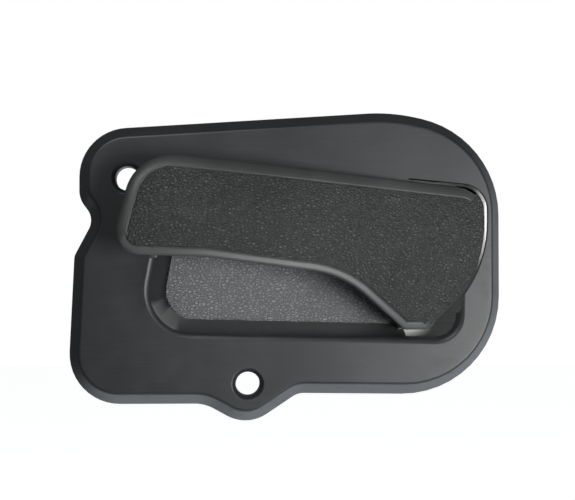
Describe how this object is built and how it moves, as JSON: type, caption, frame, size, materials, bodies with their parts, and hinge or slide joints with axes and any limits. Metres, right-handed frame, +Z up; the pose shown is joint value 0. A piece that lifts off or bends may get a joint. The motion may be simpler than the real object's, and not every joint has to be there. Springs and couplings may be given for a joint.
{
  "type": "car door handle",
  "caption": "Interior release handle of a car door: escutcheon with a finger recess, a grained pull lever on a sprung hinge pin, and a crank arm with a latch rod clip behind.",
  "frame": {"origin": "on the door panel plane that the escutcheon's rear edge seats on, at the centre of its outline", "axes": "+X along the door to the lever's hinge end, +Y into the door, +Z up; the face looks towards -Y"},
  "size_m": [0.1297, 0.0516, 0.0928],
  "materials": {
    "escutcheon_moulding": "satin black moulding with a fine streaked texture",
    "grained_floor": "black moulding with a leather-like pebble grain",
    "grained_lever": "black moulding with a leather-like pebble grain and a smooth rolled border",
    "plated_steel": "zinc-plated pressed steel",
    "pin_steel": "turned plated steel",
    "screw_steel": "zinc-plated screw",
    "spring_steel": "drawn spring wire",
    "nylon": "natural nylon",
    "clip_plastic": "natural acetal",
    "stop_rubber": "moulded rubber"
  },
  "bodies": {
    "housing": {"escutcheon": "escutcheon_moulding", "recess_floor": "grained_floor", "floor_screw_1": "screw_steel", "floor_screw_2": "screw_steel", "floor_screw_3": "screw_steel", "pivot_bracket": "plated_steel", "bracket_screw_1": "screw_steel", "bracket_screw_2": "screw_steel", "bracket_screw_3": "screw_steel", "bracket_screw_4": "screw_steel", "pivot_pin": "pin_steel", "pin_clip": "spring_steel", "return_spring": "spring_steel", "closed_stop": "stop_rubber", "open_stop": "stop_rubber"},
    "lever": {"lever": "grained_lever", "upper_bush": "nylon", "lower_bush": "nylon", "crank_arm": "plated_steel", "arm_rivet_1": "pin_steel", "arm_rivet_2": "pin_steel"},
    "rod_clip": {"rod_clip": "clip_plastic"}
  },
  "joints": [
    {"name": "lever_pivot", "type": "hinge", "parent": "housing", "child": "lever", "pos_m": [0.0456, -0.001, 0.008], "axis": [0, 0, 1], "range_deg": [0, 32], "stiffness_Nm_per_rad": 0.35, "springref_deg": -34.38, "deforming": ["return_spring"]},
    {"name": "rod_clip_turn", "type": "hinge", "parent": "lever", "child": "rod_clip", "pos_m": [0.0456, 0.018, 0.008], "axis": [0, 0, 1], "range_deg": [-32, 0]}
  ],
  "couplings": [
    {"joint": "rod_clip_turn", "follows": "lever_pivot", "ratio": -1}
  ]
}
